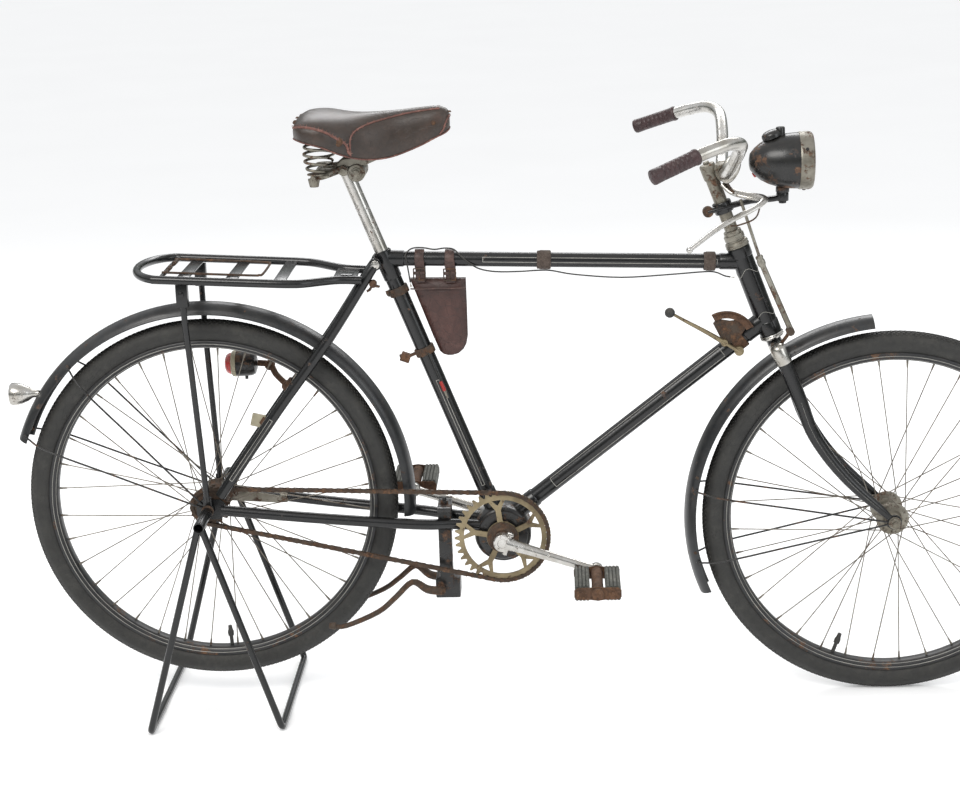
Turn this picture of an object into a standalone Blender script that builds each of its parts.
"""A rusty gentleman's roadster bicycle on a tubular axle stand.

Metres, +Z up. X runs forward and Y to the bicycle's left. The sizes are set out from the rear
axle, and ORIGIN_SHIFT moves the whole bicycle so that the origin lies on the floor under the
middle of its outline.
"""
from math import atan2, cos, pi, radians, sin, sqrt, tan

import bmesh
import bpy
from mathutils import Matrix, Vector

# Overall sizes
WHEELBASE = 1.198
REAR_REACH = 0.350          # rear axle to the back of the reflector
REAR_AXLE_Z = 0.378         # the stand lifts the rear wheel off the floor
TYRE_RADIUS = 0.330
TYRE_SECTION = 0.0215       # radius of the tyre's round section
GAP = 0.0003                # between pieces that touch
RUNNING_GAP = 0.0006        # between a pin and its bore

# Wheels
FRONT_AXLE_Z = TYRE_RADIUS
RIM_HALF_WIDTH = 0.0155
RIM_WALL = 0.0022
RIM_DEPTH = 0.0145          # from the flange's edge to the spoke bed
WHEEL_STEPS = 32            # flats round a rim and a tyre
TYRE_SIDES = 8              # flats round the tyre's own section
SPOKES = 36
SPOKE_RADIUS = 0.0011
HUB_CORE = 0.017
HUB_FLANGE = 0.0285
HUB_COLLAR = 0.012
REAR_FLANGE_Y = 0.031
FRONT_FLANGE_Y = 0.034
AXLE_RADIUS = 0.005
CONE_IN = 0.0470            # inner face of a rear cone, where the hub ends

# Frame
BB = Vector((0.515, 0.0, 0.312))
HEAD_ANGLE = radians(69.4)
SEAT_ANGLE = radians(68.9)
HEAD_LENGTH = 0.163
HEAD_BOTTOM = Vector((0.9875, 0.0, 0.661))
SEAT_LENGTH = 0.545
HEAD_RADIUS = 0.0185
TOP_RADIUS = 0.0127
SEAT_RADIUS = 0.0143
DOWN_RADIUS = 0.0150
LUG_WALL = 0.0016
TOP_ON_SEAT = 0.531         # along the seat tube from the bottom bracket
TOP_ON_HEAD = 0.135         # along the head tube from its lower end
DOWN_ON_HEAD = 0.028
STEERER_RADIUS = 0.0125
HOUSING_RADIUS = 0.050
HOUSING_HALF = 0.034
DROPOUT_Y = 0.0575          # inner face of a dropout
DROPOUT_THICK = 0.005
DROPOUT_HALF_HEIGHT = 0.018
STAY_RADIUS = 0.0095

# Saddle, carrier and mudguards
POST_RADIUS = 0.0118
POST_TOP = 0.690            # along the seat tube line from the bottom bracket
GUARD_CROWN = 0.0310        # from the tyre's tread to the mudguard's crown
GUARD_HALF = 0.028
GUARD_DEPTH = 0.016
GUARD_WALL = 0.0012
CARRIER_RADIUS = 0.0072
CARRIER_HALF = 0.100
CARRIER_BACK = -0.104
SLAT_THICK = 0.003
CLIP_RADIUS = 0.0022
BAND_WALL = 0.0040          # of the strips round the top tube
WIRE_RADIUS = 0.0013
LEATHER_WALL = 0.0045
SPRING_WIRE = 0.0022

# Drive
CHAIN_Y = -0.043
PITCH = 0.0127
CHAINRING_TEETH = 40
SPROCKET_TEETH = 16
CHAIN_HALF_HEIGHT = 0.0040
CHAIN_HALF_WIDTH = 0.0035
CRANK_LENGTH = 0.1713
CRANK_DROP = radians(17.5)  # the right crank points forward and this far down
SPINDLE_RADIUS = 0.0085
CRANK_Y = 0.072
PEDAL_EYE_Y = 0.080
PEDAL_PIN_RADIUS = 0.0045

# Steering
BAR_RADIUS = 0.0105
GRIP_RADIUS = 0.0128
FORK_HALF = 0.050
CROWN_DROP = 0.020          # below the head tube, along the steering axis
LAMP_RADIUS = 0.0485
LAMP_FOOT = 0.0530          # from the lamp's middle down to its foot's face
LAMP_CENTRE = Vector((1.005, 0.0, 0.9585))

# Stands
STAND_TUBE = 0.0060
SLEEVE_RADIUS = 0.0095
SLEEVE_IN = 0.078
SLEEVE_OUT = 0.165
STAND_PIVOT = Vector((0.404, 0.0, 0.210))
STAND_PIN = 0.0064

ORIGIN_SHIFT = (REAR_REACH - WHEELBASE - TYRE_RADIUS) / 2
REAR_AXLE = Vector((0.0, 0.0, REAR_AXLE_Z))
FRONT_AXLE = Vector((WHEELBASE, 0.0, FRONT_AXLE_Z))
HEAD_DIR = Vector((-cos(HEAD_ANGLE), 0.0, sin(HEAD_ANGLE)))
SEAT_DIR = Vector((-cos(SEAT_ANGLE), 0.0, sin(SEAT_ANGLE)))
HEAD_TOP = HEAD_BOTTOM + HEAD_DIR * HEAD_LENGTH
SEAT_TOP = BB + SEAT_DIR * SEAT_LENGTH
CRANK_EYE = BB + Vector((cos(CRANK_DROP), 0, -sin(CRANK_DROP))) * CRANK_LENGTH
TYRE_MIDDLE = TYRE_RADIUS - TYRE_SECTION
TYRE_FLAT = pi / TYRE_SIDES  # lean of the tyre's flat beside its innermost edge
RIM_OUTER = (TYRE_MIDDLE - TYRE_SECTION + (RIM_HALF_WIDTH - RIM_WALL) * tan(TYRE_FLAT)
             - GAP / cos(TYRE_FLAT))
RIM_INNER = RIM_OUTER - RIM_DEPTH
STEERER_TOP = HEAD_LENGTH + 0.0306
GUARD_TOP = TYRE_RADIUS + GUARD_CROWN
CHAINRING_PITCH = PITCH / (2 * sin(pi / CHAINRING_TEETH))
SPROCKET_PITCH = PITCH / (2 * sin(pi / SPROCKET_TEETH))
SIDES = (("right", -1), ("left", 1))

PAINT = (0.012, 0.013, 0.014, 1)
STEEL = (0.34, 0.32, 0.29, 1)
CHROME = (0.62, 0.61, 0.58, 1)
RUST = (0.14, 0.065, 0.032, 1)
RUBBER = (0.03, 0.03, 0.03, 1)
LEATHER = (0.10, 0.035, 0.02, 1)
GRIP = (0.05, 0.018, 0.02, 1)


def collection(name):
    made = bpy.data.collections.new(name)
    bpy.context.scene.collection.children.link(made)
    return made


def clear_scene():
    for obj in list(bpy.data.objects):
        bpy.data.objects.remove(obj, do_unlink=True)


def material(name, colour, roughness, metallic):
    made = bpy.data.materials.new(name)
    made.use_nodes = True
    shader = made.node_tree.nodes["Principled BSDF"]
    shader.inputs["Base Color"].default_value = colour
    shader.inputs["Roughness"].default_value = roughness
    shader.inputs["Metallic"].default_value = metallic
    return made


FINISHES = {PAINT: (0.35, 0.0), STEEL: (0.4, 0.9), CHROME: (0.25, 1.0), RUST: (0.8, 0.3),
            RUBBER: (0.8, 0.0), LEATHER: (0.5, 0.0), GRIP: (0.5, 0.0)}


def linked(name, data):
    obj = bpy.data.objects.new(name, data)
    BIKE.objects.link(obj)
    return obj


def world_place(obj):
    """Where an object stands in the world, worked out from its parents' own places."""
    if obj.parent:
        return world_place(obj.parent) @ obj.matrix_parent_inverse @ obj.matrix_basis
    return obj.matrix_basis.copy()


def hang(obj, parent):
    """Parents obj and leaves it where it is."""
    obj.parent = parent
    obj.matrix_parent_inverse = world_place(parent).inverted()


def finished(obj, colour, pivot=None):
    """Names the piece's material and hangs it on the root or on a joint's empty."""
    roughness, metallic = FINISHES[colour]
    obj.data.materials.clear()
    obj.data.materials.append(material(obj.name, colour, roughness, metallic))
    hang(obj, pivot or ROOT)
    return obj


def pivot_empty(name, place, parent):
    empty = bpy.data.objects.new(name, None)
    BIKE.objects.link(empty)
    empty.location = place
    if parent:
        hang(empty, parent)
    return empty


def mesh_object(name, bm):
    bmesh.ops.recalc_face_normals(bm, faces=bm.faces)
    mesh = bpy.data.meshes.new(name)
    bm.to_mesh(mesh)
    bm.free()
    return linked(name, mesh)


def add_cone(bm, start, end, radius, end_radius=None, sides=16):
    start, end = Vector(start), Vector(end)
    axis = end - start
    turn = Vector((0, 0, 1)).rotation_difference(axis).to_matrix().to_4x4()
    place = Matrix.Translation((start + end) / 2) @ turn
    far = radius if end_radius is None else end_radius
    bmesh.ops.create_cone(bm, cap_ends=True, segments=sides, radius1=radius, radius2=far,
                          depth=axis.length, matrix=place)


def rod(name, start, end, radius, end_radius=None, sides=16):
    bm = bmesh.new()
    add_cone(bm, start, end, radius, end_radius, sides)
    return mesh_object(name, bm)


def box(name, centre, size, turn=0.0):
    """A box turned about Y by the angle turn, in radians."""
    bm = bmesh.new()
    place = (Matrix.Translation(centre) @ Matrix.Rotation(turn, 4, "Y")
             @ Matrix.Diagonal((*size, 1)))
    bmesh.ops.create_cube(bm, size=1, matrix=place)
    return mesh_object(name, bm)


def bent_tube(name, points, radius, sides=10, radii=None, closed=False):
    """A tube through the points, made a mesh with its end caps welded on."""
    curve = bpy.data.curves.new(name, "CURVE")
    curve.dimensions = "3D"
    curve.bevel_depth = radius
    curve.bevel_resolution = sides // 2 - 2
    curve.use_fill_caps = not closed
    spline = curve.splines.new("POLY")
    spline.points.add(len(points) - 1)
    spline.use_cyclic_u = closed
    for place, (point, co) in enumerate(zip(spline.points, points)):
        point.co = (*co, 1)
        point.radius = radii[place] / radius if radii else 1
    guide = linked(name + "_path", curve)
    bpy.context.view_layer.update()
    shape = bpy.data.meshes.new_from_object(guide.evaluated_get(bpy.context.evaluated_depsgraph_get()))
    bm = bmesh.new()
    bm.from_mesh(shape)
    bmesh.ops.remove_doubles(bm, verts=bm.verts, dist=0.00005)
    bpy.data.objects.remove(guide)
    bpy.data.meshes.remove(shape)
    return mesh_object(name, bm)


def smooth_path(points, steps):
    """Points read from a smooth curve through the given points."""
    places = [Vector(p) for p in points]
    ends = [2 * places[0] - places[1]] + places + [2 * places[-1] - places[-2]]
    out = []
    for a, b, c, d in zip(ends, ends[1:], ends[2:], ends[3:]):
        for step in range(steps):
            t = step / steps
            out.append(0.5 * (2 * b + (c - a) * t + (2 * a - 5 * b + 4 * c - d) * t ** 2
                              + (3 * b - a - 3 * c + d) * t ** 3))
    return out + [places[-1]]


def cutter(obj):
    for owner in list(obj.users_collection):
        owner.objects.unlink(obj)
    CUTTERS.objects.link(obj)
    obj.hide_render = True
    obj.display_type = "WIRE"
    return obj


def boolean(obj, other, operation):
    """Joins or cuts obj with other, which from then on moves with obj."""
    hang(other, obj)
    step = obj.modifiers.new(operation.lower(), "BOOLEAN")
    step.operation = operation
    step.object = cutter(other)
    return obj


def fuse(obj, *others):
    for other in others:
        boolean(obj, other, "UNION")
    return obj


def cut(obj, *others):
    for other in others:
        boolean(obj, other, "DIFFERENCE")
    return obj


def turned(name, profile, centre, steps=24, axis="Y", angle=2 * pi):
    """Turns a (radius, along) profile about the axis Y, from +X up, or about the axis X."""
    bm = bmesh.new()
    verts = [bm.verts.new((radius, 0, along)) for radius, along in profile]
    for a, b in zip(verts, verts[1:]):
        bm.edges.new((a, b))
    if profile[0][0] > 0 and angle >= 2 * pi:
        bm.edges.new((verts[-1], verts[0]))
    mesh = bpy.data.meshes.new(name)
    bm.to_mesh(mesh)
    bm.free()
    obj = linked(name, mesh)
    turn = obj.modifiers.new("turn", "SCREW")
    turn.angle = angle
    turn.steps = steps
    turn.render_steps = steps
    turn.use_merge_vertices = True
    turn.merge_threshold = 0.00005
    turn.use_normal_calculate = True
    obj.location = centre
    obj.rotation_euler = {"Y": (pi / 2, 0, 0), "X": (0, pi / 2, 0)}[axis]
    return obj


def baked(obj):
    """The evaluated shape as a plain mesh object in place, ready to join or to cut."""
    bpy.context.view_layer.update()
    shape = bpy.data.meshes.new_from_object(obj.evaluated_get(bpy.context.evaluated_depsgraph_get()))
    shape.transform(obj.matrix_world)
    name = obj.name
    bpy.data.objects.remove(obj)
    bm = bmesh.new()
    bm.from_mesh(shape)
    bmesh.ops.remove_doubles(bm, verts=bm.verts, dist=0.00002)
    return mesh_object(name, bm)


def flat_plate(name, outlines, thickness, y):
    """Flat outlines in the X and Z plane, filled between them, at the width y."""
    curve = bpy.data.curves.new(name, "CURVE")
    curve.dimensions = "2D"
    curve.fill_mode = "BOTH"
    curve.extrude = thickness / 2
    for outline in outlines:
        spline = curve.splines.new("POLY")
        spline.points.add(len(outline) - 1)
        spline.use_cyclic_u = True
        for point, (x, z) in zip(spline.points, outline):
            point.co = (x, z, 0, 1)
    flat = linked(name, curve)
    flat.rotation_euler = (pi / 2, 0, 0)
    flat.location.y = y
    return baked(flat)


def side(point, sign):
    return Vector((point[0], point[1] * sign, point[2]))


def along_head(distance):
    """A point on the steering axis, measured up from the head tube's lower end."""
    return HEAD_BOTTOM + HEAD_DIR * distance


def from_axle(axle, radius, angle, y=0.0):
    return axle + Vector((radius * cos(angle), y, radius * sin(angle)))


# Frame

def main_frame():
    top_rear = BB + SEAT_DIR * TOP_ON_SEAT
    top_front = along_head(TOP_ON_HEAD)
    down_front = along_head(DOWN_ON_HEAD)
    down_foot = BB + Vector((0, 0, 0.014))
    frame = rod("main_frame", HEAD_BOTTOM, HEAD_TOP, HEAD_RADIUS, sides=16)
    tubes = (("top_tube", top_rear, top_front, TOP_RADIUS),
             ("down_tube", down_foot, down_front, DOWN_RADIUS),
             ("seat_tube", BB, SEAT_TOP, SEAT_RADIUS),
             ("seat_lug", SEAT_TOP - SEAT_DIR * 0.052, SEAT_TOP - SEAT_DIR * 0.0005,
              SEAT_RADIUS + LUG_WALL),
             ("upper_lug", top_front + (top_rear - top_front).normalized() * 0.042, top_front,
              TOP_RADIUS + LUG_WALL),
             ("lower_lug", down_front + (down_foot - down_front).normalized() * 0.046, down_front,
              DOWN_RADIUS + LUG_WALL))
    for name, start, end, radius in tubes:
        fuse(frame, rod(name, start, end, radius, sides=16))
    cut(frame, rod("head_bore", along_head(-0.05), along_head(HEAD_LENGTH + 0.05),
                   STEERER_RADIUS + RUNNING_GAP, sides=16))
    cut(frame, rod("post_bore", SEAT_TOP - SEAT_DIR * 0.10, SEAT_TOP + SEAT_DIR * 0.05,
                   POST_RADIUS + GAP, sides=16))
    cut(frame, housing_space("frame_housing_space"))
    return finished(frame, PAINT)


def housing_space(name):
    """Room for the gear housing, with its flats outside the housing's corners."""
    sides = 24
    return rod(name, BB + Vector((0, -0.06, 0)), BB + Vector((0, 0.06, 0)),
               (HOUSING_RADIUS + GAP) / cos(pi / sides), sides=sides)


def gear_housing():
    half = HOUSING_HALF
    bore = SPINDLE_RADIUS + RUNNING_GAP
    profile = ((bore, half + 0.004), (0.022, half + 0.004), (0.024, half), (0.043, half),
               (HOUSING_RADIUS, half - 0.006), (HOUSING_RADIUS, 0.006 - half), (0.043, -half),
               (0.024, -half), (0.022, -half - 0.004), (bore, -half - 0.004))
    return finished(turned("gear_housing", profile, BB, steps=20), PAINT)


def chain_stay(word, sign):
    points = [REAR_AXLE + Vector(p) for p in
              ((0.022, 0.0605, -0.002), (0.20, 0.0500, -0.024), (0.365, 0.0405, -0.041),
               (0.425, 0.0265, -0.046), (0.492, 0.0225, -0.052))]
    stay = bent_tube("chain_stay_" + word, [side(p, sign) for p in points], STAY_RADIUS, 12)
    middle = DROPOUT_Y + DROPOUT_THICK / 2
    plate = box("dropout_" + word, REAR_AXLE + Vector((0.004, middle * sign, 0)),
                (0.050, DROPOUT_THICK, 2 * DROPOUT_HALF_HEIGHT))
    fuse(stay, plate)
    cut(stay, rod("axle_hole_" + word, REAR_AXLE + Vector((0, 0.03 * sign, 0)),
                  REAR_AXLE + Vector((0, 0.09 * sign, 0)), AXLE_RADIUS + GAP, sides=12))
    cut(stay, housing_space("stay_housing_space_" + word))
    return finished(stay, PAINT)


def seat_stay(word, sign):
    lean = 0.6               # the end's lowest edge lies this share of a radius below its middle
    seat = DROPOUT_HALF_HEIGHT + GAP + STAY_RADIUS * lean
    points = [REAR_AXLE + Vector((0.0220, 0.0605, seat)), (0.130, 0.0490, 0.552),
              (0.222, 0.0395, 0.673), (0.298, 0.0285, 0.787), (0.3095, 0.0255, 0.802)]
    stay = bent_tube("seat_stay_" + word, [side(p, sign) for p in points], STAY_RADIUS, 12)
    eye = Vector((0.3095, 0.0, 0.802))
    inner = SEAT_RADIUS + LUG_WALL + GAP
    fuse(stay, rod("stay_eye_" + word, eye + Vector((0, inner * sign, 0)),
                   eye + Vector((0, 0.030 * sign, 0)), 0.0105))
    return finished(stay, PAINT)


def rear_axle():
    axle = rod("rear_axle", REAR_AXLE + Vector((0, -0.100, 0)), REAR_AXLE + Vector((0, 0.100, 0)),
               AXLE_RADIUS, sides=12)
    for word, sign in SIDES:
        fuse(axle, rod("axle_nut_" + word, REAR_AXLE + Vector((0, 0.0706 * sign, 0)),
                       REAR_AXLE + Vector((0, 0.0775 * sign, 0)), 0.0095, sides=6))
        fuse(axle, rod("axle_cone_" + word, REAR_AXLE + Vector((0, CONE_IN * sign, 0)),
                       REAR_AXLE + Vector((0, (DROPOUT_Y - GAP) * sign, 0)), 0.0085, sides=12))
    return finished(axle, RUST)


def head_cup():
    """The chromed lower cup, between the head tube and the fork crown."""
    bore = STEERER_RADIUS + RUNNING_GAP
    cup = rod("head_cup_lower", along_head(-0.0075), along_head(-GAP), 0.0210, 0.0198, 20)
    cut(cup, rod("cup_bore", along_head(-0.03), along_head(0.03), bore, sides=16))
    return finished(cup, CHROME)


# Saddle

def seat_post():
    top = BB + SEAT_DIR * POST_TOP
    post = rod("seat_post", SEAT_TOP - SEAT_DIR * 0.095, top, POST_RADIUS, sides=16)
    return finished(post, STEEL)


SADDLE_CLAMP = BB + SEAT_DIR * (POST_TOP + 0.0105)


def saddle_frame():
    """The clamp on the post, two rails, the spring bar and the nose piece."""
    clamp = rod("saddle_frame", SADDLE_CLAMP + Vector((0, -0.030, 0)),
                SADDLE_CLAMP + Vector((0, 0.030, 0)), 0.0098, sides=16)
    low = SADDLE_CLAMP.z
    for word, sign in SIDES:
        points = [(0.232, 0.066, 0.9615), (0.245, 0.050, 0.9660), (0.262, 0.026, low + 0.004),
                  (0.300, 0.020, low + 0.012), (0.360, 0.016, 1.0000), (0.412, 0.006, 1.0220)]
        fuse(clamp, bent_tube("rail_" + word, [side(p, sign) for p in points], 0.0038, 8))
    nose_x, nose_half, nose_low = 0.412, 0.007, 1.0120
    nose_top = saddle_height(nose_x - nose_half, nose_half) - 1.1 * LEATHER_WALL - GAP
    fuse(clamp, box("nose_piece", (nose_x, 0, (nose_low + nose_top) / 2),
                    (2 * nose_half, 2 * nose_half, nose_top - nose_low)))
    fuse(clamp, rod("spring_bar", SPRING_BAR - Vector((0, 0.082, 0)),
                    SPRING_BAR + Vector((0, 0.082, 0)), SPRING_BAR_RADIUS, sides=8))
    fuse(clamp, box("spring_bridge", SPRING_BAR + Vector((0.010, 0, 0.0015)), (0.030, 0.140, 0.0036)))
    return finished(clamp, STEEL)


SPRING_BAR = Vector((0.217, 0.0, 0.9600))
SPRING_BAR_RADIUS = 0.0045
SPRING_Y = 0.066


def saddle_spring(word, sign):
    """A barrel-shaped coil between the spring bar and the leather's back corner."""
    turns, per_turn = 4, 9
    middle = Vector((SPRING_BAR.x + 0.004, SPRING_Y * sign, 0))
    end_radius, swell = 0.0135, 0.0055
    low = SPRING_BAR.z + SPRING_BAR_RADIUS + GAP + SPRING_WIRE
    under = saddle_height(middle.x, SPRING_Y + end_radius) - 1.25 * LEATHER_WALL
    high = under - GAP - SPRING_WIRE
    points = []
    for step in range(turns * per_turn + 1):
        share = step / (turns * per_turn)
        angle = 2 * pi * turns * share
        radius = end_radius + swell * sin(pi * share)
        points.append(middle + Vector((radius * cos(angle), radius * sin(angle) * sign,
                                       low + (high - low) * share)))
    return finished(bent_tube("saddle_spring_" + word, points, SPRING_WIRE, 6), STEEL)


SADDLE_SECTIONS = (          # x, half width, top of the skirt's edge, crown
    (0.186, 0.062, 1.036, 1.056), (0.205, 0.094, 1.032, 1.064), (0.235, 0.100, 1.024, 1.066),
    (0.270, 0.082, 1.006, 1.063), (0.305, 0.052, 0.996, 1.061), (0.345, 0.034, 0.998, 1.061),
    (0.390, 0.026, 1.012, 1.065), (0.425, 0.022, 1.028, 1.067), (0.443, 0.014, 1.036, 1.060))
SADDLE_ROUND = 0.6          # how full the saddle's section is, from its edge to its crown


def saddle_height(x, y):
    """The height of the leather's outer face over a point of the saddle."""
    for near, far in zip(SADDLE_SECTIONS, SADDLE_SECTIONS[1:]):
        if near[0] <= x <= far[0]:
            share = (x - near[0]) / (far[0] - near[0])
            half, edge, crown = (a + (b - a) * share for a, b in zip(near[1:], far[1:]))
            return edge + (crown - edge) * (1 - (y / half) ** 2) ** (SADDLE_ROUND / 2)
    raise ValueError("this place lies outside the saddle")


def saddle_cover():
    """A leather shell, lofted over its sections and open below."""
    bm = bmesh.new()
    rings = []
    for x, half, edge, crown in SADDLE_SECTIONS:
        ring = []
        for angle in (-90, -64, -40, -20, 0, 20, 40, 64, 90):
            share = radians(angle)
            rise = (crown - edge) * cos(share) ** SADDLE_ROUND
            ring.append(bm.verts.new((x, half * sin(share), edge + rise)))
        rings.append(ring)
    for a, b in zip(rings, rings[1:]):
        for place in range(len(a) - 1):
            bm.faces.new((a[place], b[place], b[place + 1], a[place + 1]))
    bm.faces.new(rings[0])
    bm.faces.new(list(reversed(rings[-1])))
    cover = mesh_object("saddle_cover", bm)
    wall = cover.modifiers.new("wall", "SOLIDIFY")
    wall.thickness = LEATHER_WALL
    wall.offset = -1
    return finished(cover, LEATHER)


# Mudguards, carrier and luggage

def guard_profile():
    """Radius and width along the mudguard's section, from one edge over the crown."""
    edge = radians(78)
    points = []
    for step in range(-2, 3):
        share = edge * step / 2
        points.append((GUARD_TOP - GUARD_DEPTH * (1 - cos(share)) / (1 - cos(edge)),
                       GUARD_HALF * sin(share) / sin(edge)))
    return points


def mudguard(name, axle, first, last, pivot=None):
    """A sheet arc between two angles, measured up from straight ahead of the axle."""
    steps = round((last - first) / 7.5)
    guard = turned(name, guard_profile(), axle, steps=steps, angle=radians(last - first))
    guard.data.transform(Matrix.Rotation(radians(first), 4, "Z"))
    wall = guard.modifiers.new("wall", "SOLIDIFY")
    wall.thickness = GUARD_WALL
    wall.offset = 1
    return finished(guard, PAINT, pivot)


def guard_stay(name, axle, sign, eye_y, feet, pivot=None):
    """Thin rods from an eye on the axle to the mudguard's inner face."""
    thick = 0.0012
    eye = rod(name, axle + Vector((0, (eye_y - thick) * sign, 0)),
              axle + Vector((0, (eye_y + thick) * sign, 0)), 0.0105)
    wire = 0.0016
    reach = GUARD_TOP - GUARD_DEPTH + 0.0005
    foot_y = GUARD_HALF + 0.5 * GUARD_WALL + wire + GAP
    for place, degrees in enumerate(feet):
        angle = radians(degrees)
        points = [from_axle(axle, 0.007, angle, eye_y * sign),
                  from_axle(axle, 0.050, angle, eye_y * sign),
                  from_axle(axle, 0.300, angle, (eye_y - 0.006) * sign),
                  from_axle(axle, reach, angle, foot_y * sign)]
        fuse(eye, bent_tube(f"{name}_rod_{place}", points, wire, 6))
    cut(eye, rod(name + "_hole", axle + Vector((0, -0.12, 0)), axle + Vector((0, 0.12, 0)),
                 AXLE_RADIUS + GAP, sides=12))
    return finished(eye, RUST, pivot)


def rear_reflector():
    """A round reflector on a short cone, seated on the rear mudguard's crown."""
    seat = from_axle(REAR_AXLE, GUARD_TOP - 0.004, radians(146))
    depth = REAR_REACH + seat.x
    body = rod("rear_reflector", seat, seat - Vector((depth * 0.62, 0, 0)), 0.006, 0.0195, 20)
    fuse(body, rod("reflector_face", seat - Vector((depth * 0.55, 0, 0)),
                   seat - Vector((depth, 0, 0)), 0.0200, 0.0195, 20))
    cut(body, rod("guard_space", REAR_AXLE - Vector((0, 0.05, 0)), REAR_AXLE + Vector((0, 0.05, 0)),
                  GUARD_TOP + GUARD_WALL + GAP, sides=96))
    return finished(body, CHROME)


CARRIER_SLOPE = radians(3.3)
SLAT_RISE = 0.001           # the slats' middle over the rail's


def carrier_height(x):
    return 0.8015 - tan(CARRIER_SLOPE) * (x - CARRIER_BACK)


def luggage_carrier():
    """A flattened hoop of tube with flat slats and a front plate."""
    half = CARRIER_HALF
    corner = [(CARRIER_BACK + half * 0.55 * (1 - sin(radians(a))), half * cos(radians(a)))
              for a in range(0, 91, 18)]
    side_rail = [(0.287, 0.0468), (0.250, 0.0500), (0.222, 0.068), (0.196, 0.088), (0.170, 0.0975),
                 (0.10, half)]
    half_loop = side_rail + corner
    points = [Vector((x, -y, carrier_height(x))) for x, y in half_loop]
    points += [Vector((x, y, carrier_height(x))) for x, y in reversed(half_loop[:-1])]
    carrier = bent_tube("luggage_carrier", points, CARRIER_RADIUS, 10)
    slats = ((-0.050, 0.007), (-0.013, 0.021), (0.069, 0.021), (0.151, 0.021))
    for place, (x, width) in enumerate(slats):
        fuse(carrier, box(f"slat_{place}", (x, 0, carrier_height(x) + SLAT_RISE),
                          (width, 2 * half - 0.004, SLAT_THICK), CARRIER_SLOPE))
    plate_x = 0.257
    fuse(carrier, box("front_plate", (plate_x, 0, carrier_height(plate_x) + SLAT_RISE),
                      (0.040, 0.098, SLAT_THICK), CARRIER_SLOPE))
    return finished(carrier, PAINT)


def carrier_leg(word, sign):
    """A tube from a plate under the carrier's rail down to an eye on the axle."""
    place_x, place_y = -0.014, 0.0905
    rail_bottom = carrier_height(place_x) - CARRIER_RADIUS - GAP
    eye_in, eye_out = 0.0664, 0.0702
    points = [(place_x, place_y, rail_bottom - 0.004), (-0.010, 0.080, 0.640),
              REAR_AXLE + Vector((0, 0.0693, 0.0175))]
    leg = bent_tube("carrier_leg_" + word, [side(p, sign) for p in points], 0.0052, 10)
    fuse(leg, rod("leg_eye_" + word, REAR_AXLE + Vector((0, eye_in * sign, 0)),
                  REAR_AXLE + Vector((0, eye_out * sign, 0)), 0.0110))
    fuse(leg, box("leg_strap_" + word, REAR_AXLE + Vector((0, (eye_in + eye_out) / 2 * sign, 0.0130)),
                  (0.0160, eye_out - eye_in, 0.0260)))
    fuse(leg, box("leg_plate_" + word, (place_x, place_y * sign, rail_bottom - 0.020),
                  (0.020, 0.0150, 0.040)))
    cut(leg, rod("leg_hole_" + word, REAR_AXLE + Vector((0, 0.05 * sign, 0)),
                 REAR_AXLE + Vector((0, 0.11 * sign, 0)), AXLE_RADIUS + GAP, sides=12))
    return finished(leg, PAINT)


def carrier_clip():
    """The bent wire spring that holds a load down; it lies on the slats."""
    lift = SLAT_RISE + SLAT_THICK / 2 + GAP + CLIP_RADIUS
    outline = ((-0.046, -0.004), (-0.046, -0.060), (0.105, -0.060), (0.118, -0.050),
               (0.118, 0.050), (0.105, 0.060), (-0.046, 0.060), (-0.046, 0.010))
    points = [(x, y, carrier_height(x) + lift) for x, y in outline]
    return finished(bent_tube("carrier_clip", points, CLIP_RADIUS, 8), RUST)


def top_tube_ends():
    return BB + SEAT_DIR * TOP_ON_SEAT, along_head(TOP_ON_HEAD)


def on_top_tube(x):
    """The point of the top tube's middle line over x."""
    rear, front = top_tube_ends()
    return rear.lerp(front, (x - rear.x) / (front.x - rear.x))


def tube_way():
    rear, front = top_tube_ends()
    return (front - rear).normalized()


def tool_bag():
    """A flat tapering leather case buckled under the top tube."""
    outline = ((0.366, 0.772), (0.463, 0.770), (0.463, 0.668), (0.457, 0.648), (0.444, 0.636),
               (0.428, 0.634), (0.414, 0.642))
    bag = flat_plate("tool_bag", [outline], 0.034, 0)
    half_width = 0.008
    for place, x in enumerate(STRAPS):
        centre, way = on_top_tube(x), tube_way() * half_width
        fuse(bag, rod(f"strap_{place}", centre - way, centre + way, TOP_RADIUS + STRAP_WALL, sides=16))
        fuse(bag, box(f"strap_tail_{place}", (x, 0, centre.z - 0.026), (2 * half_width, 0.020, 0.030)))
        cut(bag, rod(f"strap_hole_{place}", centre - way * 4, centre + way * 4, TOP_RADIUS + GAP,
                     sides=16))
    return finished(bag, LEATHER)


STRAPS = (0.384, 0.436)
STRAP_WALL = 0.0045


# Small fittings on the frame

BANDS = (("tube_band_middle", 0.598, 0.024), ("tube_band_front", 0.8815, 0.020))


def tube_band(name, x, width):
    """A worn strip of cloth wrapped round the top tube over the lamp wire."""
    centre, way = on_top_tube(x), tube_way() * width / 2
    band = rod(name, centre - way, centre + way, TOP_RADIUS + BAND_WALL, sides=16)
    cut(band, rod(name + "_bore", centre - way * 3, centre + way * 3, TOP_RADIUS + GAP, sides=16))
    return finished(band, LEATHER)


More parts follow.
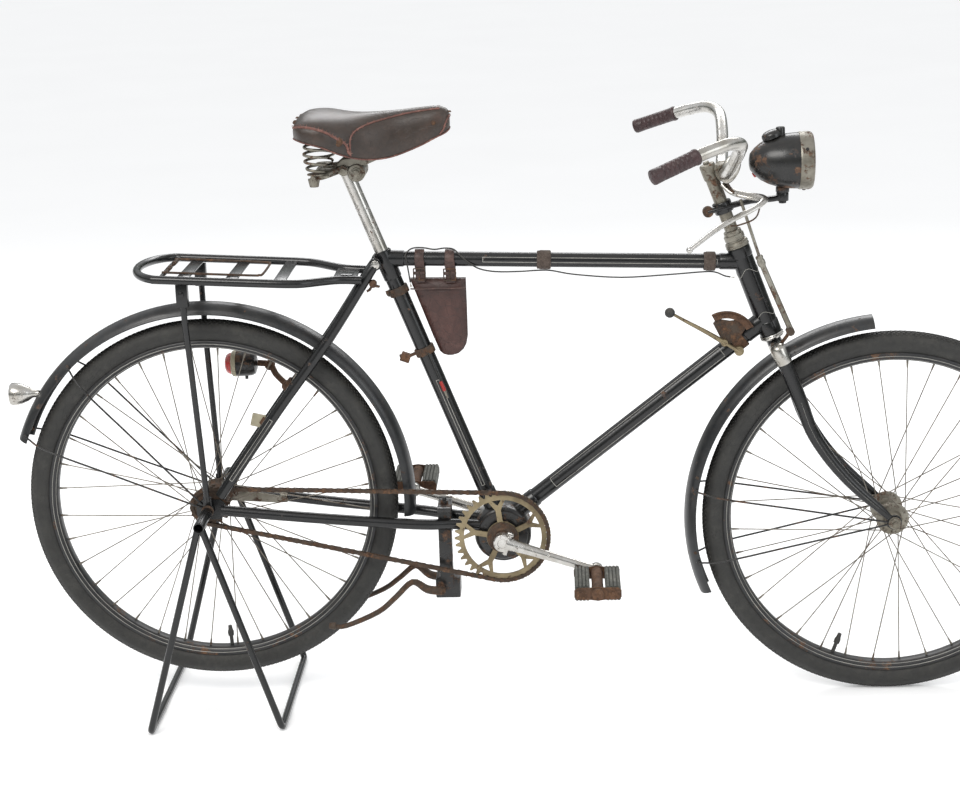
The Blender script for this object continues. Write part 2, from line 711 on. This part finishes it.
def lamp_wire():
    """The lamp's lead, over the straps, down the near side and under the cloth bands."""
    bare = TOP_RADIUS + GAP + WIRE_RADIUS
    strap = TOP_RADIUS + STRAP_WALL + GAP + WIRE_RADIUS
    band = TOP_RADIUS + BAND_WALL + GAP + WIRE_RADIUS
    first, second = STRAPS
    middle, front = (x for _, x, _ in BANDS)
    route = (                # x, angle from the tube's top to its near side, distance from its middle
        (0.368, 151, 0.0430), (0.366, 142, 0.0300), (0.363, 110, bare + 0.0010),
        (0.361, 60, bare + 0.0014), (0.366, 18, bare + 0.0014), (first - 0.008, 8, strap + 0.0006),
        (first + 0.008, 4, strap + 0.0004), (0.410, 0, bare + 0.0020), (second - 0.008, 6, strap + 0.0004),
        (second + 0.008, 22, strap + 0.0006), (0.456, 62, bare + 0.0010), (0.470, 105, bare + 0.0006),
        (0.487, 148, bare + 0.0035), (0.515, 170, bare + 0.0070), (0.555, 178, bare + 0.0066),
        (middle - 0.012, 178, band + 0.0004), (middle + 0.012, 178, band + 0.0004),
        (0.650, 180, bare + 0.0110), (0.730, 180, bare + 0.0155), (0.810, 180, bare + 0.0100),
        (front - 0.010, 178, band + 0.0003), (front + 0.010, 172, band + 0.0006),
        (0.906, 150, 0.0262), (0.915, 138, 0.0310))
    points = []
    for x, angle, distance in route:
        near, up = sin(radians(angle)), cos(radians(angle))
        points.append(on_top_tube(x) + Vector((0, -distance * near, distance * up)))
    return finished(bent_tube("lamp_wire", smooth_path(points, 2), WIRE_RADIUS, 6), RUBBER)


def gear_lever():
    """A notched quadrant clamped to the down tube, with its ball-ended lever."""
    front = along_head(DOWN_ON_HEAD)
    foot = BB + Vector((0, 0, 0.014))
    way = (foot - front).normalized()
    centre = front + way * 0.060
    lever = rod("gear_lever", centre - way * 0.011, centre + way * 0.011, DOWN_RADIUS + 0.0045,
                sides=16)
    near = -DOWN_RADIUS - 0.0065
    fuse(lever, rod("lever_pin", (0.9306, near - 0.006, 0.6356), (0.9306, -0.006, 0.6356),
                    0.0085, sides=16))
    fuse(lever, box("lever_arm", (0.9180, near, 0.6430), (0.052, 0.0060, 0.011), radians(32)))
    quadrant = ((0.864, 0.655), (0.900, 0.648), (0.932, 0.660), (0.940, 0.690), (0.926, 0.708),
                (0.914, 0.706), (0.905, 0.686))
    fuse(lever, flat_plate("quadrant", [quadrant], 0.0045, near))
    fuse(lever, bent_tube("lever_rod", [(0.905, near, 0.651), (0.8729, near - 0.001, 0.671),
                                        (0.8175, near - 0.012, 0.7045)], 0.0032, 8))
    ball = bmesh.new()
    bmesh.ops.create_uvsphere(ball, u_segments=12, v_segments=8, radius=0.0088,
                              matrix=Matrix.Translation((0.8114, near - 0.013, 0.7078)))
    fuse(lever, mesh_object("lever_ball", ball))
    cut(lever, rod("lever_clamp_bore", centre - way * 0.06, centre + way * 0.06,
                   DOWN_RADIUS + GAP, sides=16))
    return finished(lever, STEEL)


def pump_peg(name, distance, reach):
    """A clip round the seat tube with a finger for the pump."""
    centre = BB + SEAT_DIR * distance
    way = SEAT_DIR * 0.007
    peg = rod(name, centre - way, centre + way, SEAT_RADIUS + 0.0035, sides=16)
    tip = centre + Vector(reach)
    fuse(peg, rod(name + "_finger", centre, tip, 0.0050, sides=10))
    cut(peg, rod(name + "_bore", centre - way * 5, centre + way * 5, SEAT_RADIUS + GAP, sides=16))
    return finished(peg, RUST)


def rear_lamp():
    """A round black lamp with a lens facing back, behind the left seat stay."""
    centre = Vector((0.052, 0.096, 0.603))
    lamp = rod("rear_lamp", centre + Vector((-0.022, 0, 0)), centre + Vector((0.024, 0, 0)),
               0.0235, 0.0220, 24)
    fuse(lamp, rod("lens", centre + Vector((-0.034, 0, 0)), centre + Vector((-0.020, 0, 0)),
                   0.0130, 0.0185, 20))
    return finished(lamp, PAINT)


def rear_lamp_bracket():
    """A rusty strap from the left seat stay to the lamp."""
    stay_point = Vector((0.130, 0.0490, 0.552))
    way = (Vector((0.222, 0.0395, 0.673)) - stay_point).normalized()
    bracket = rod("rear_lamp_bracket", stay_point + way * 0.012, stay_point + way * 0.034,
                  STAY_RADIUS + 0.004, sides=16)
    arm = [stay_point + way * 0.023 + Vector((-0.010, 0.010, 0)), (0.112, 0.078, 0.586),
           (0.100, 0.094, 0.600), (0.0745, 0.096, 0.603)]
    fuse(bracket, bent_tube("lamp_arm", arm, 0.0060, 8))
    cut(bracket, rod("bracket_bore", stay_point - way * 0.02, stay_point + way * 0.07,
                     STAY_RADIUS + GAP, sides=16))
    cut(bracket, rod("lamp_seat", (0.020, 0.096, 0.603), (0.0763, 0.096, 0.603), 0.0300))
    return finished(bracket, RUST)


def brake_arm():
    """The coaster brake's reaction arm, from the left axle end to a clip on the chain stay."""
    inner, outer = 0.0424, 0.0446
    outline = ((-0.012, 0.366), (0.008, 0.362), (0.110, 0.3550), (0.124, 0.3560), (0.124, 0.3660),
               (0.110, 0.3680), (0.012, 0.392), (-0.012, 0.392))
    arm = flat_plate("brake_arm", [outline], outer - inner, (inner + outer) / 2)
    stay = (Vector((0.022, 0.0605, REAR_AXLE_Z - 0.002)), Vector((0.20, 0.0500, REAR_AXLE_Z - 0.024)))
    middle = stay[0].lerp(stay[1], 0.540)
    way = (stay[1] - stay[0]).normalized() * 0.006
    fuse(arm, rod("arm_clip", middle - way, middle + way, STAY_RADIUS + 0.0022, sides=16))
    cut(arm, rod("clip_bore", middle - way * 8, middle + way * 8, STAY_RADIUS + GAP, sides=16))
    cut(arm, rod("arm_hole", REAR_AXLE + Vector((0, 0.02, 0)), REAR_AXLE + Vector((0, 0.09, 0)),
                 AXLE_RADIUS + GAP, sides=12))
    return finished(arm, STEEL)


def chain_outline(offset):
    """The chain's loop round both wheels, moved out from the pitch line by offset."""
    big, small = CHAINRING_PITCH + offset, SPROCKET_PITCH + offset
    span = REAR_AXLE - BB
    distance = sqrt(span.x ** 2 + span.z ** 2)
    back = atan2(span.z, span.x)
    spread = pi / 2 - atan2(CHAINRING_PITCH - SPROCKET_PITCH, distance)
    points = []
    arcs = ((BB, big, back + spread, back + 2 * pi - spread, 24),
            (REAR_AXLE, small, back - spread, back + spread, 12))
    for centre, radius, first, last, steps in arcs:
        for step in range(steps + 1):
            angle = first + (last - first) * step / steps
            points.append((centre.x + radius * cos(angle), centre.z + radius * sin(angle)))
    return points


def chain():
    """The chain as one fixed loop: a flat outline with a hole in it."""
    outlines = [chain_outline(offset) for offset in (CHAIN_HALF_HEIGHT, -CHAIN_HALF_HEIGHT)]
    return finished(flat_plate("chain", outlines, 2 * CHAIN_HALF_WIDTH, CHAIN_Y), RUST)


# Stands

def stand_bracket():
    """The centre stand's clamp block on the chain stays and its hanging bar."""
    top = 0.3640
    x, y = 0.412, -0.0245
    block = box("stand_bracket", (x, 0, top - 0.004), (0.024, 0.070, 0.008))
    for word, sign in SIDES:
        fuse(block, box("clamp_cheek_" + word, (x, 0.0190 * sign, 0.3350), (0.023, 0.012, 0.060)))
    fuse(block, box("bar", (x, y + 0.009, 0.2720), (0.0235, 0.022, 0.116)))
    fuse(block, box("foot_block", (x + 0.002, 0, STAND_PIVOT.z), (0.044, 0.050, 0.036)))
    fuse(block, rod("clamp_bolt", (x, -0.0100, top - 0.002), (x, -0.0100, top + 0.006), 0.0070, sides=6))
    for word, sign in SIDES:
        path = [side(REAR_AXLE + Vector(p), sign) for p in
                ((0.365, 0.0405, -0.041), (0.425, 0.0265, -0.046))]
        cut(block, rod("stay_space_" + word, path[0].lerp(path[1], -0.4), path[0].lerp(path[1], 1.5),
                       STAY_RADIUS + 2 * GAP))
    cut(block, rod("pivot_hole", STAND_PIVOT + Vector((0, -0.06, 0)),
                   STAND_PIVOT + Vector((0, 0.06, 0)), STAND_PIN + RUNNING_GAP, sides=12))
    return finished(block, PAINT)


def centre_stand(pivot):
    """Two forged legs on one pin, folded back and up beside the rear tyre."""
    legs = rod("centre_stand_legs", STAND_PIVOT + Vector((0, -0.0420, 0)),
               STAND_PIVOT + Vector((0, 0.0420, 0)), STAND_PIN, sides=12)
    for word, sign in SIDES:
        points = [(0.404, 0.0365, 0.210), (0.378, 0.038, 0.214), (0.352, 0.0430, 0.230),
                  (0.322, 0.0510, 0.205), (0.290, 0.0580, 0.180), (0.232, 0.0610, 0.156),
                  (0.208, 0.0640, 0.157)]
        radii = [0.0095, 0.0085, 0.0065, 0.0060, 0.0058, 0.0055, 0.0045]
        fuse(legs, bent_tube("stand_leg_" + word, [side(p, sign) for p in points], 0.006, 10, radii))
    return finished(legs, RUST, pivot)


def axle_stand():
    """The black tube stand that the rear axle rests in: two sleeves, four legs, two crossbars."""
    feet = ((0.122, 0.160), (-0.108, 0.172))
    lift = STAND_TUBE
    stand = None
    for word, sign in SIDES:
        sleeve = rod("axle_stand" if stand is None else "sleeve_left",
                     REAR_AXLE + Vector((0, SLEEVE_IN * sign, 0)),
                     REAR_AXLE + Vector((0, SLEEVE_OUT * sign, 0)), SLEEVE_RADIUS, sides=16)
        stand = sleeve if stand is None else fuse(stand, sleeve)
        for place, (x, y) in enumerate(feet):
            top = REAR_AXLE + Vector((0.004 if x > 0 else -0.004, (SLEEVE_OUT - 0.010) * sign, -0.006))
            fuse(stand, rod(f"stand_leg_{word}_{place}", top, (x, y * sign, lift), STAND_TUBE, sides=8))
    for place, (x, y) in enumerate(feet):
        fuse(stand, rod(f"crossbar_{place}", (x, -y - 0.002, lift), (x, y + 0.002, lift),
                        STAND_TUBE - 0.0002, sides=8))
    cut(stand, rod("sleeve_bore", REAR_AXLE + Vector((0, -0.2, 0)), REAR_AXLE + Vector((0, 0.2, 0)),
                   AXLE_RADIUS + GAP, sides=12))
    return finished(stand, PAINT)


# Steering

def front_fork(pivot):
    """Steerer, crown and raked blades."""
    crown = along_head(-CROWN_DROP)
    fork = rod("front_fork", crown, along_head(STEERER_TOP), STEERER_RADIUS, sides=16)
    fuse(fork, rod("crown", crown + Vector((0, -FORK_HALF, 0)), crown + Vector((0, FORK_HALF, 0)),
                   0.0098, sides=16))
    for word, sign in SIDES:
        points = [crown + Vector((0, FORK_HALF - 0.001, 0)), (1.0115, 0.0485, 0.606),
                  (1.0335, 0.0485, 0.551), (1.0530, 0.0490, 0.498), (1.0800, 0.0500, 0.453),
                  (1.1100, 0.0510, 0.415), (1.1400, 0.0520, 0.384), (1.1700, 0.0530, 0.357),
                  (1.1900, 0.0535, 0.338)]
        radii = [0.0125, 0.0125, 0.0122, 0.0115, 0.0108, 0.0100, 0.0092, 0.0078, 0.0055]
        blade = bent_tube("blade_" + word, [side(p, sign) for p in points], 0.012, 10, radii)
        fuse(fork, blade)
        fuse(fork, rod("fork_end_" + word, FRONT_AXLE + Vector((0, (0.0535 - 0.0025) * sign, 0)),
                       FRONT_AXLE + Vector((0, 0.0560 * sign, 0)), 0.0130))
    cut(fork, rod("fork_axle_hole", FRONT_AXLE + Vector((0, -0.1, 0)),
                  FRONT_AXLE + Vector((0, 0.1, 0)), AXLE_RADIUS + GAP, sides=12))
    return finished(fork, PAINT, pivot)


def front_axle(pivot):
    axle = rod("front_axle", FRONT_AXLE + Vector((0, -0.0720, 0)), FRONT_AXLE + Vector((0, 0.0720, 0)),
               AXLE_RADIUS, sides=12)
    for word, sign in SIDES:
        fuse(axle, rod("front_nut_" + word, FRONT_AXLE + Vector((0, 0.0598 * sign, 0)),
                       FRONT_AXLE + Vector((0, 0.0660 * sign, 0)), 0.0090, sides=6))
    return finished(axle, STEEL, pivot)


def head_lock_nut(pivot):
    """The upper head cup and lock nut, which turn with the fork."""
    base = HEAD_LENGTH + RUNNING_GAP
    nut = rod("head_lock_nut", along_head(base), along_head(base + 0.010), 0.0205, 0.0190, 20)
    fuse(nut, rod("lock_ring", along_head(base + 0.009), along_head(STEERER_TOP), 0.0168, sides=16))
    cut(nut, rod("nut_bore", along_head(base - 0.02), along_head(base + 0.06),
                 STEERER_RADIUS + GAP, sides=16))
    return finished(nut, STEEL, pivot)


def stem(pivot):
    """The stem tube, its collar and the lug that reaches forward to the bar."""
    foot = along_head(STEERER_TOP + GAP)
    made = rod("stem", foot, along_head(0.300), 0.0115, sides=16)
    fuse(made, rod("collar", along_head(0.288), along_head(0.3165), 0.0135, sides=16))
    lug = [along_head(0.303), along_head(0.303) + Vector((0.012, 0, 0.001)), BAR_CENTRE]
    fuse(made, bent_tube("stem_lug", lug, 0.0105, 12))
    fuse(made, rod("bar_clamp", side(BAR_CLAMP_END, -1), BAR_CLAMP_END, CLAMP_RADIUS, sides=16))
    cut(made, rod("bar_bore", BAR_CENTRE - Vector((0, 0.06, 0)), BAR_CENTRE + Vector((0, 0.06, 0)),
                  BAR_RADIUS + GAP, sides=16))
    return finished(made, STEEL, pivot)


CLAMP_RADIUS = BAR_RADIUS + 0.0045
BAR_CENTRE = Vector((0.905, 0.0, 0.9440))
BAR_CLAMP_END = BAR_CENTRE + Vector((0, 0.024, 0))
BAR_HALF = (BAR_CENTRE, (0.905, 0.036, 0.9440), (0.909, 0.075, 0.9560),
            (0.914, 0.125, 0.9800), (0.9165, 0.175, 1.0020), (0.9155, 0.212, 1.0150),
            (0.908, 0.236, 1.0215), (0.893, 0.254, 1.0235), (0.872, 0.268, 1.0190),
            (0.845, 0.281, 1.0110), (0.772, 0.314, 0.9840))


def handlebar(pivot):
    half = [Vector(p) for p in BAR_HALF]
    points = [side(p, -1) for p in reversed(half[1:])] + half
    return finished(bent_tube("handlebar", points, BAR_RADIUS, 10), CHROME, pivot)


def grip(word, sign, pivot):
    """A sleeve over the bar's straight end, closed behind it."""
    start, end = (Vector(p) for p in BAR_HALF[-2:])
    way = (end - start).normalized()
    sleeve = rod("grip_" + word, side(start + way * 0.003, sign), side(end + way * 0.004, sign),
                 GRIP_RADIUS, sides=16)
    cut(sleeve, rod("grip_bore_" + word, side(start - way * 0.02, sign), side(end + way * GAP, sign),
                    BAR_RADIUS + GAP, sides=16))
    return finished(sleeve, GRIP, pivot)


def headlamp(pivot):
    """A domed lamp body with its rim, turned about X, and a switch knob on top."""
    back, front = LAMP_CENTRE.x - 0.057, LAMP_CENTRE.x + 0.053
    r = LAMP_RADIUS
    profile = ((0, back - LAMP_CENTRE.x), (0.014, 0.002 + back - LAMP_CENTRE.x), (0.030, -0.040),
               (0.041, -0.020), (r - 0.0010, 0.010), (r - 0.0010, 0.026), (r, 0.027), (r, 0.046),
               (r - 0.006, front - LAMP_CENTRE.x), (0, front - LAMP_CENTRE.x - 0.002))
    lamp = baked(turned("headlamp", profile, LAMP_CENTRE, steps=20, axis="X"))
    top = LAMP_CENTRE + Vector((-0.012, 0, 0.040))
    fuse(lamp, rod("lamp_knob", top, top + Vector((-0.004, 0, 0.016)), 0.0120, 0.0105, 16))
    fuse(lamp, rod("lamp_foot", LAMP_CENTRE - Vector((0, 0, 0.040)),
                   LAMP_CENTRE - Vector((0, 0, LAMP_FOOT)), 0.0120, sides=16))
    return finished(lamp, PAINT, pivot)


def lamp_bracket(pivot):
    """The arm that carries the headlamp, clamped round the stem."""
    ring = along_head(0.2365)
    way = HEAD_DIR * 0.0095
    bracket = rod("lamp_bracket", ring - way, ring + way, 0.0165, sides=16)
    foot = LAMP_CENTRE + Vector((0, 0, -LAMP_FOOT - GAP - 0.0075))
    arm = [ring + Vector((-0.026, -0.008, -0.006)), ring + Vector((0.0, -0.008, 0.000)),
           ring + Vector((0.046, -0.004, 0.010)), foot + Vector((-0.018, 0, -0.0035)), foot]
    fuse(bracket, bent_tube("lamp_arm_tube", arm, 0.0070, 10))
    fuse(bracket, rod("lamp_pad", foot + Vector((0, 0, -0.004)), foot + Vector((0, 0, 0.0075)), 0.0105))
    cut(bracket, rod("stem_space", along_head(0.20), along_head(0.28), 0.0115 + GAP, sides=16))
    return finished(bracket, PAINT, pivot)


def brake_lever(pivot):
    """The bent hand lever of the front rim brake with its pivot link."""
    strap = 0.0048
    under = BAR_CENTRE.z - CLAMP_RADIUS - strap + 0.0002
    points = [(0.9030, -0.0150, under), (0.9180, -0.0240, 0.9120), (0.9420, -0.0330, 0.9060),
              (0.9640, -0.0470, 0.9040), (0.9660, -0.0600, 0.8990), (0.9450, -0.0760, 0.8890),
              (0.9130, -0.0900, 0.8760), (0.8820, -0.1020, 0.8600), (0.8400, -0.1150, 0.8310)]
    lever = bent_tube("brake_lever", points, strap, 8)
    return finished(lever, CHROME, pivot)


def brake_rod(pivot):
    """The plunger rod, its adjuster and tube, and the bracket at the fork crown."""
    top, joint, low = (Vector(p) for p in ((0.9310, -0.0330, 0.9000), (0.9657, -0.0370, 0.7932),
                                           (1.0160, -0.0370, 0.6760)))
    made = rod("brake_rod", top, joint, 0.0028, sides=10)
    fuse(made, rod("rod_tube", joint, low, 0.0052, sides=12))
    fuse(made, rod("adjuster", joint.lerp(top, 0.10), joint.lerp(low, 0.05), 0.0068, sides=8))
    fuse(made, rod("rod_bracket", low + Vector((0, -0.0095, -0.004)), low + Vector((0, 0.0095, -0.004)),
                   0.0075, sides=8))
    crown = along_head(-CROWN_DROP)
    fuse(made, bent_tube("rod_tie", [low + Vector((0, 0, -0.004)), (1.0090, -0.0340, 0.6600),
                                     crown + Vector((0.0050, -0.0300, 0.0035))], 0.0035, 8))
    cut(made, rod("crown_space", crown + Vector((0, -0.06, 0)), crown + Vector((0, 0.06, 0)),
                  0.0098 + GAP, sides=16))
    return finished(made, STEEL, pivot)


# Wheels

def tyre(name, axle, pivot):
    bpy.ops.mesh.primitive_torus_add(major_radius=TYRE_MIDDLE, minor_radius=TYRE_SECTION,
                                     major_segments=WHEEL_STEPS, minor_segments=TYRE_SIDES,
                                     location=axle, rotation=(pi / 2, 0, 0))
    made = bpy.context.object
    made.name = made.data.name = name
    for owner in list(made.users_collection):
        owner.objects.unlink(made)
    BIKE.objects.link(made)
    return finished(made, RUBBER, pivot)


def rim(name, axle, pivot):
    """A channel section whose flanges reach up to the tyre."""
    half, bed = RIM_HALF_WIDTH, RIM_INNER + RIM_WALL
    inside = half - RIM_WALL
    profile = ((RIM_OUTER, half), (RIM_OUTER, inside), (bed, inside * 0.6), (bed, -inside * 0.6),
               (RIM_OUTER, -inside), (RIM_OUTER, -half), (RIM_INNER, -half * 0.6),
               (RIM_INNER, half * 0.6))
    return finished(baked(turned(name, profile, axle, steps=WHEEL_STEPS)), PAINT, pivot)


def hub(name, axle, flange_y, shell, ends):
    """The hub shell with its two flanges, and the spokes out to the rim."""
    bore = AXLE_RADIUS + RUNNING_GAP
    right, left = ends
    face = 0.0015
    profile = [(bore, left), (HUB_COLLAR, left), (HUB_COLLAR, flange_y + face),
               (HUB_FLANGE, flange_y + face), (HUB_FLANGE, flange_y - face), (shell, flange_y - 0.004),
               (shell, 0.004 - flange_y), (HUB_FLANGE, face - flange_y), (HUB_FLANGE, -flange_y - face),
               (HUB_COLLAR, -flange_y - face), (HUB_COLLAR, -right), (bore, -right)]
    made = baked(turned(name, [(radius, -along) for radius, along in profile], axle, steps=16))
    reach = RIM_INNER * cos(pi / WHEEL_STEPS) - GAP
    spokes = bmesh.new()
    for spoke in range(SPOKES):
        flank = 1 if spoke % 2 else -1
        angle = 2 * pi * (spoke + 0.5) / SPOKES
        start = from_axle(axle, HUB_FLANGE - 0.004, angle, flange_y * flank)
        finish = from_axle(axle, reach, angle, 0.0035 * flank)
        add_cone(spokes, start, finish, SPOKE_RADIUS, sides=3)
    return fuse(made, mesh_object(name + "_spokes", spokes))


def rear_hub(pivot):
    """The hub with its sprocket inside the chain."""
    made = hub("rear_hub", REAR_AXLE, REAR_FLANGE_Y, 0.024, (CONE_IN - RUNNING_GAP, 0.0418))
    radius = SPROCKET_PITCH - CHAIN_HALF_HEIGHT - 2 * GAP
    sprocket = rod("sprocket", REAR_AXLE + Vector((0, CHAIN_Y - 0.0012, 0)),
                   REAR_AXLE + Vector((0, CHAIN_Y + 0.0012, 0)), radius, sides=24)
    cut(sprocket, rod("sprocket_bore", REAR_AXLE + Vector((0, -0.1, 0)), REAR_AXLE, 0.0090, sides=12))
    return finished(fuse(made, sprocket), RUST, pivot)


def front_hub(pivot):
    end = FRONT_FLANGE_Y + 0.0115
    return finished(hub("front_hub", FRONT_AXLE, FRONT_FLANGE_Y, 0.0125, (end, end)), STEEL, pivot)


# Drive

def polar(radius, angle):
    return BB.x + radius * cos(angle), BB.z + radius * sin(angle)


def arc(radius, first, last, steps):
    return [polar(radius, first + (last - first) * step / steps) for step in range(steps + 1)]


def chainring_outlines():
    """The ring's edge, its bore, the windows between its arms and those inside their forks."""
    outer = CHAINRING_PITCH - CHAIN_HALF_HEIGHT - 2 * GAP
    inner, hub_radius, fork = outer - 0.007, 0.030, 0.051
    half_arm, half_fork, spread = 0.0050, 0.0033, 0.16
    outlines = [arc(outer, 0, 2 * pi, CHAINRING_TEETH)[:-1],
                arc(SPINDLE_RADIUS + GAP, 0, 2 * pi, 16)[:-1]]
    for arm in range(5):
        angle = radians(98 - 72 * arm)
        after = angle + radians(72)
        reach = spread + half_fork / inner
        outlines.append(arc(hub_radius, angle + half_arm / hub_radius, after - half_arm / hub_radius, 4)
                        + [polar(fork, after - half_arm / fork)]
                        + arc(inner, after - reach, angle + reach, 6)
                        + [polar(fork, angle + half_arm / fork)])
        within = spread - half_fork / inner
        outlines.append([polar(fork + 0.007, angle)] + arc(inner, angle - within, angle + within, 2))
    return outlines


def chainring(pivot):
    """A toothless ring on five forked arms round a hub disc."""
    return finished(flat_plate("chainring", chainring_outlines(), 0.003, CHAIN_Y), STEEL, pivot)


def crank(word, sign, pivot):
    """A crank arm with its pedal pin; the right one carries the spindle."""
    eye = Vector((CRANK_EYE.x, 0, CRANK_EYE.z))
    if sign > 0:
        eye = BB * 2 - eye
    boss = rod("crank_" + word, BB + Vector((0, 0.0635 * sign, 0)), BB + Vector((0, 0.0815 * sign, 0)),
               0.0150, sides=16)
    fuse(boss, rod("arm_" + word, BB + Vector((0, CRANK_Y * sign, 0)),
                   eye + Vector((0, PEDAL_EYE_Y * sign, 0)), 0.0095, 0.0072, 12))
    fuse(boss, rod("eye_" + word, eye + Vector((0, (PEDAL_EYE_Y - 0.0065) * sign, 0)),
                   eye + Vector((0, (PEDAL_EYE_Y + 0.0065) * sign, 0)), 0.0125, sides=16))
    fuse(boss, rod("pin_" + word, eye + Vector((0, PEDAL_EYE_Y * sign, 0)),
                   eye + Vector((0, 0.199 * sign, 0)), PEDAL_PIN_RADIUS, sides=12))
    if sign < 0:
        fuse(boss, rod("spindle", BB + Vector((0, -0.07, 0)), BB + Vector((0, 0.0790, 0)),
                       SPINDLE_RADIUS, sides=16))
    else:
        cut(boss, rod("spindle_bore", BB, BB + Vector((0, 0.12, 0)), SPINDLE_RADIUS + GAP, sides=16))
    return finished(boss, STEEL, pivot)


def pedal(word, sign, pivot):
    """A barrel between two end plates, with a rubber block at each side of it."""
    centre = Vector((CRANK_EYE.x, 0, CRANK_EYE.z)) if sign < 0 else BB * 2 - CRANK_EYE
    inner, outer = 0.0915, 0.1980
    made = rod("pedal_" + word, centre + Vector((0, inner * sign, 0)),
               centre + Vector((0, (outer + 0.008) * sign, 0)), 0.0105, sides=16)
    for place, y in enumerate((inner + 0.0025, outer - 0.0020)):
        fuse(made, box(f"pedal_plate_{word}_{place}", centre + Vector((0, y * sign, 0)),
                       (0.078, 0.004, 0.022)))
    for place, x in enumerate((-0.0262, 0.0262)):
        fuse(made, box(f"rubber_{word}_{place}", centre + Vector((x, (inner + outer) / 2 * sign, 0)),
                       (0.0260, outer - inner - 0.001, 0.0270)))
    cut(made, rod("pedal_bore_" + word, centre + Vector((0, 0.05 * sign, 0)),
                  centre + Vector((0, 0.2015 * sign, 0)), PEDAL_PIN_RADIUS + RUNNING_GAP, sides=12))
    return finished(made, RUBBER, pivot)


def root_pieces():
    main_frame()
    gear_housing()
    rear_axle()
    head_cup()
    seat_post()
    saddle_frame()
    saddle_cover()
    for word, sign in SIDES:
        chain_stay(word, sign)
        seat_stay(word, sign)
        saddle_spring(word, sign)
        carrier_leg(word, sign)
        guard_stay("rear_guard_stay_" + word, REAR_AXLE, sign, 0.0645, (133, 158))
    mudguard("rear_mudguard", REAR_AXLE, -5, 160)
    rear_reflector()
    luggage_carrier()
    carrier_clip()
    tool_bag()
    for name, x, width in BANDS:
        tube_band(name, x, width)
    lamp_wire()
    gear_lever()
    pump_peg("pump_peg_upper", 0.470, (-0.016, -0.026, -0.001))
    pump_peg("pump_peg_lower", 0.355, (-0.040, -0.004, -0.012))
    rear_lamp()
    rear_lamp_bracket()
    brake_arm()
    chain()
    stand_bracket()
    axle_stand()


def steered_pieces():
    steering = pivot_empty("steering_axis", HEAD_BOTTOM, ROOT)
    front_fork(steering)
    front_axle(steering)
    head_lock_nut(steering)
    stem(steering)
    handlebar(steering)
    headlamp(steering)
    lamp_bracket(steering)
    brake_lever(steering)
    brake_rod(steering)
    mudguard("front_mudguard", FRONT_AXLE, 96, 203, steering)
    for word, sign in SIDES:
        grip(word, sign, steering)
        guard_stay("front_guard_stay_" + word, FRONT_AXLE, sign, 0.0578, (171, 193), steering)
    wheel = pivot_empty("front_wheel_axis", FRONT_AXLE, steering)
    tyre("front_tyre", FRONT_AXLE, wheel)
    rim("front_rim", FRONT_AXLE, wheel)
    front_hub(wheel)


def turning_pieces():
    wheel = pivot_empty("rear_wheel_axis", REAR_AXLE, ROOT)
    tyre("rear_tyre", REAR_AXLE, wheel)
    rim("rear_rim", REAR_AXLE, wheel)
    rear_hub(wheel)
    centre_stand(pivot_empty("centre_stand_axis", STAND_PIVOT, ROOT))
    cranks = pivot_empty("crank_axis", BB, ROOT)
    chainring(cranks)
    for word, sign in SIDES:
        crank(word, sign, cranks)
        eye = Vector(CRANK_EYE) if sign < 0 else BB * 2 - CRANK_EYE
        pedal(word, sign, pivot_empty("pedal_axis_" + word, eye, cranks))


clear_scene()
BIKE = collection("rusty_roadster_bicycle")
CUTTERS = collection("cutters")
ROOT = pivot_empty("bicycle_root", (0, 0, 0), None)
root_pieces()
steered_pieces()
turning_pieces()
ROOT.location.x = ORIGIN_SHIFT
bpy.context.view_layer.update()
